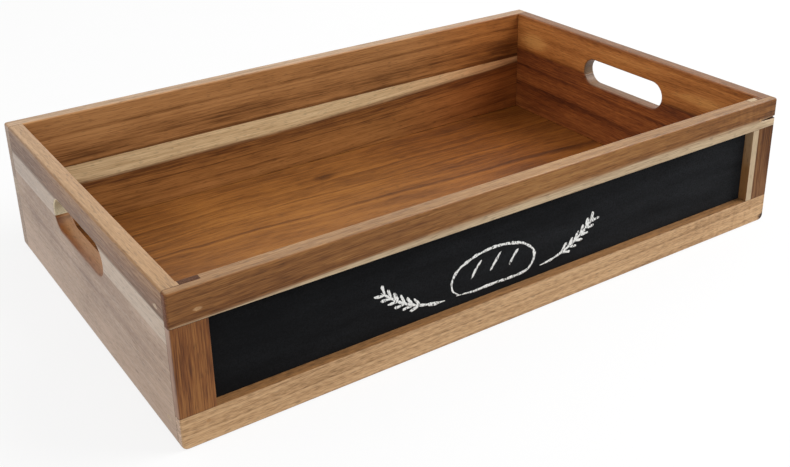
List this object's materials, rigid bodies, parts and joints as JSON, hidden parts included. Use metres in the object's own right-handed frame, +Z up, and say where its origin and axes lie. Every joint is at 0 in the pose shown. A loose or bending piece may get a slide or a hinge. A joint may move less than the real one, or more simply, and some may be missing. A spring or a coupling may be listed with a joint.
{
  "type": "bread crate",
  "caption": "Low open hardwood crate with hand slots in both ends, a lapped front frame round a chalkboard panel and a grooved-in floor.",
  "frame": {"origin": "on the surface the crate stands on, below the middle of its outline", "axes": "+X along the length, towards the right-hand end seen from the front; +Y from the chalkboard front to the back wall; +Z up"},
  "size_m": [0.53, 0.325, 0.11],
  "materials": {
    "end_boards": "oiled acacia, satin, edge-glued staves",
    "back_boards": "oiled acacia, satin, edge-glued staves",
    "frame_boards": "oiled acacia, satin",
    "floor_board": "oiled acacia-faced panel, satin",
    "chalkboard": "matt black chalkboard paint on hardboard",
    "brads": "bright galvanised wire",
    "wood_filler": "matt putty, sanded flush"
  },
  "bodies": {
    "root": {"left_end_upper_stave": "end_boards", "left_end_lower_stave": "end_boards", "right_end_upper_stave": "end_boards", "right_end_lower_stave": "end_boards", "back_upper_stave": "back_boards", "back_lower_stave": "back_boards", "front_top_rail": "frame_boards", "front_bottom_rail": "frame_boards", "left_stile": "frame_boards", "right_stile": "frame_boards", "chalkboard_panel": "chalkboard", "floor_panel": "floor_board", "lap_brad_left_lower": "brads", "lap_brad_left_upper": "brads", "lap_brad_right_lower": "brads", "lap_brad_right_upper": "brads", "skew_brad_left_lower": "brads", "skew_brad_left_upper": "brads", "skew_brad_right_lower": "brads", "skew_brad_right_upper": "brads", "back_brad_left_lower": "brads", "back_brad_left_upper": "brads", "back_brad_right_lower": "brads", "back_brad_right_upper": "brads", "lap_filler_left_lower": "wood_filler", "lap_filler_left_upper": "wood_filler", "lap_filler_right_lower": "wood_filler", "lap_filler_right_upper": "wood_filler", "skew_filler_left_lower": "wood_filler", "skew_filler_left_upper": "wood_filler", "skew_filler_right_lower": "wood_filler", "skew_filler_right_upper": "wood_filler", "back_filler_left_lower": "wood_filler", "back_filler_left_upper": "wood_filler", "back_filler_right_lower": "wood_filler", "back_filler_right_upper": "wood_filler"}
  },
  "joints": []
}
